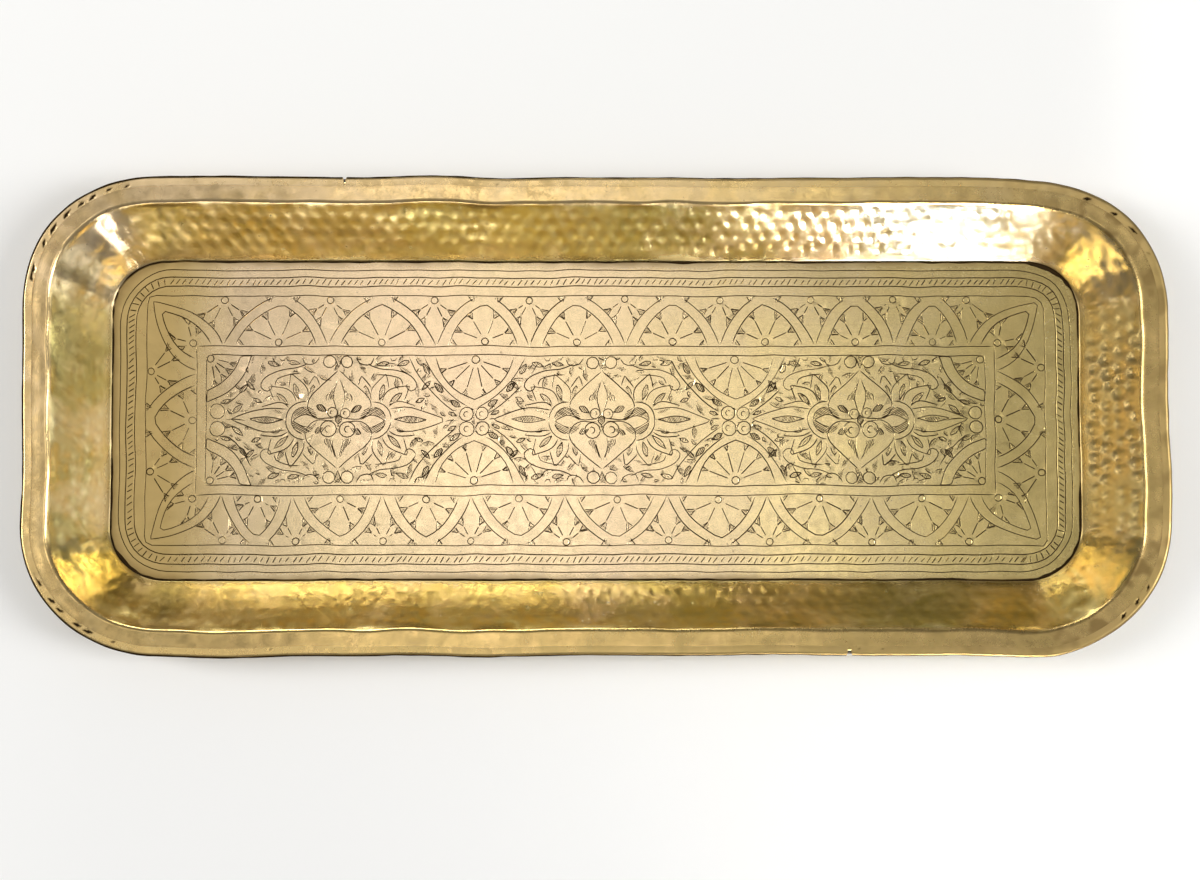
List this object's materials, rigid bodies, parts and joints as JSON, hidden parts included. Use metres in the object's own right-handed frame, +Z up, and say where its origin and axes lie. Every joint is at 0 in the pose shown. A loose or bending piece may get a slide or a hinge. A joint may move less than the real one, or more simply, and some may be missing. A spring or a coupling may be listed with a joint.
{
  "type": "serving tray",
  "caption": "Shallow rectangular serving tray with round corners, leaning hammered walls, a flat flange with a bound edge and an engraved flat floor.",
  "frame": {"origin": "centre of the flat underside of the pan, on the surface the tray stands on", "axes": "+X along the tray, +Y across it, +Z up out of the open side"},
  "size_m": [0.6, 0.253, 0.035],
  "materials": {
    "pan_brass": "hand-hammered and planished sheet brass with a soft polish, tarnished darker on the walls, dark patina in the engraved lines",
    "strip_brass": "brushed along its length, with polished wear on the outer edge",
    "wire_iron": "drawn iron wire, dark and dull"
  },
  "bodies": {
    "root": {"tray_pan": "pan_brass", "edge_strip_left": "strip_brass", "edge_strip_right": "strip_brass", "edge_wire": "wire_iron"}
  },
  "joints": []
}
